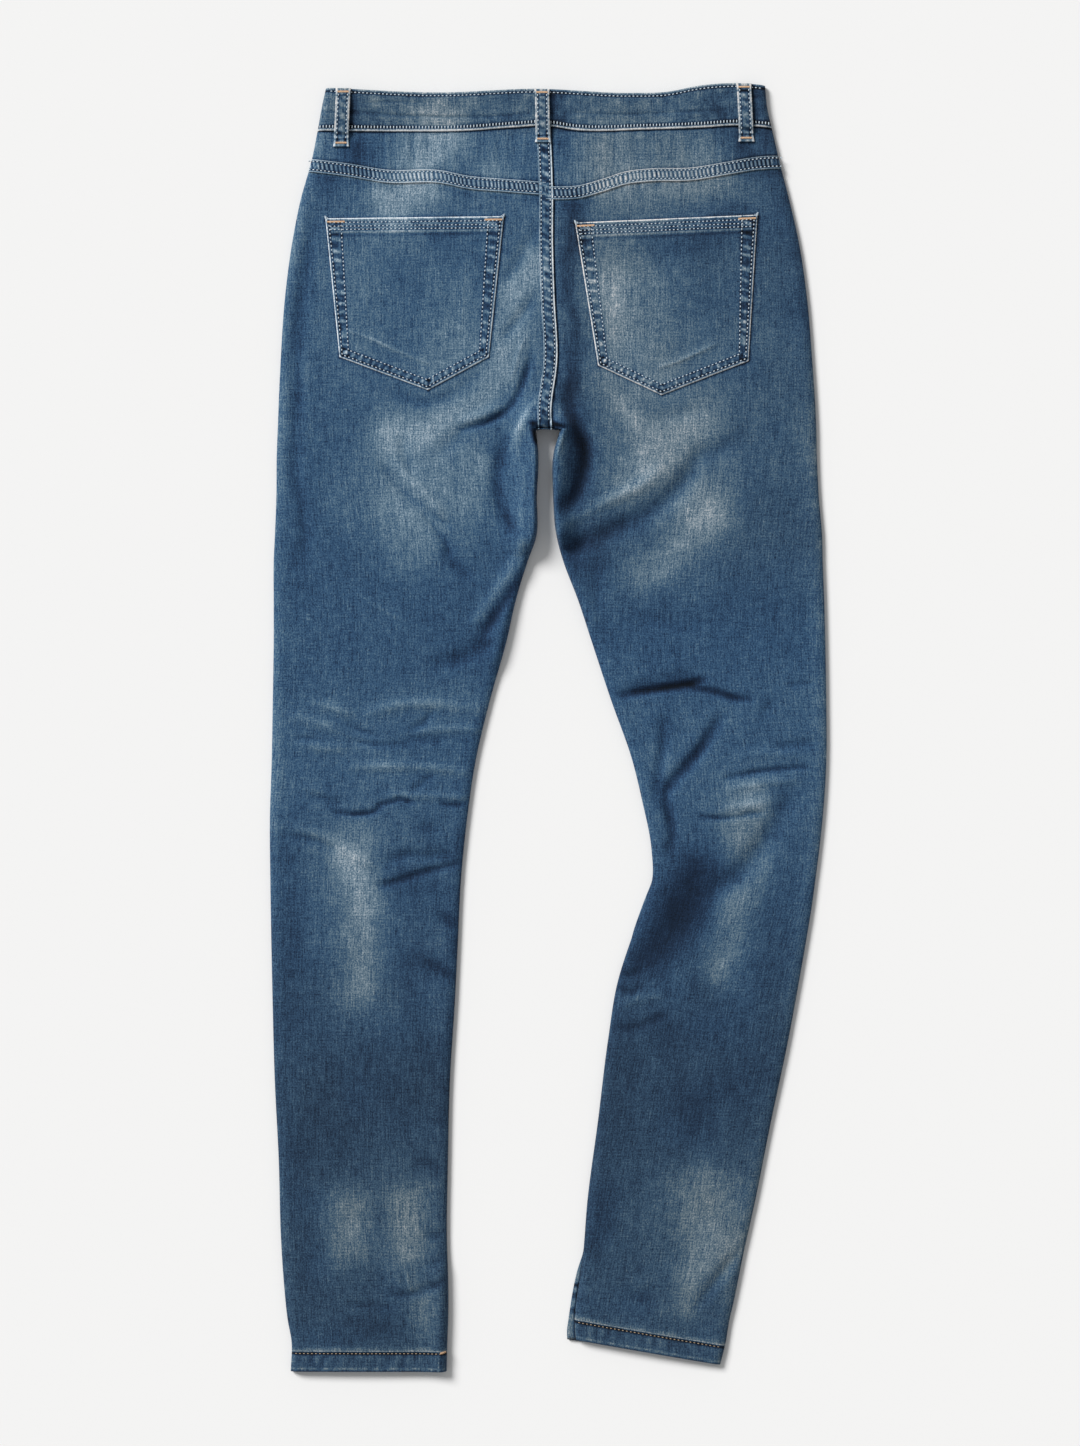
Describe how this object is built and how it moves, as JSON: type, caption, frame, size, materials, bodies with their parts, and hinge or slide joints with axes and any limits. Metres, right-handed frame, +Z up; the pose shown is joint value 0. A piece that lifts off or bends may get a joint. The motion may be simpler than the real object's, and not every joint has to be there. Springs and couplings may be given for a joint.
{
  "type": "jeans",
  "caption": "Slim jeans laid flat with the back up: thin cloth panels with back yokes, patch pockets, waistband, belt loops and turned hems.",
  "frame": {"origin": "on the surface it lies on, under the middle of the garment's outline", "axes": "+Y from the hems to the waist, +X to the wearer's right side, +Z up out of the back"},
  "size_m": [0.4785, 1.1059, 0.0106],
  "materials": {
    "denim": "washed blue stretch twill, matte, darker at the sides and faded down the middle",
    "worn_denim": "the same cloth at its felled seams, mottled light and dark by wear",
    "thread": "pale sewing thread, matte",
    "tack_thread": "tan thread of the bar tacks, matte",
    "brass": "aged brass of the waist button"
  },
  "bodies": {
    "root": {"front_left": "denim", "front_right": "denim", "back_left": "denim", "back_right": "denim", "yoke_left": "denim", "yoke_right": "denim", "yoke_seam_left": "worn_denim", "yoke_seam_right": "worn_denim", "seat_seam": "worn_denim", "pocket_left": "denim", "pocket_right": "denim", "waistband": "denim", "button": "brass", "belt_loop_left": "denim", "belt_loop_centre": "denim", "belt_loop_right": "denim", "hem_left": "denim", "hem_right": "denim"}
  },
  "joints": []
}
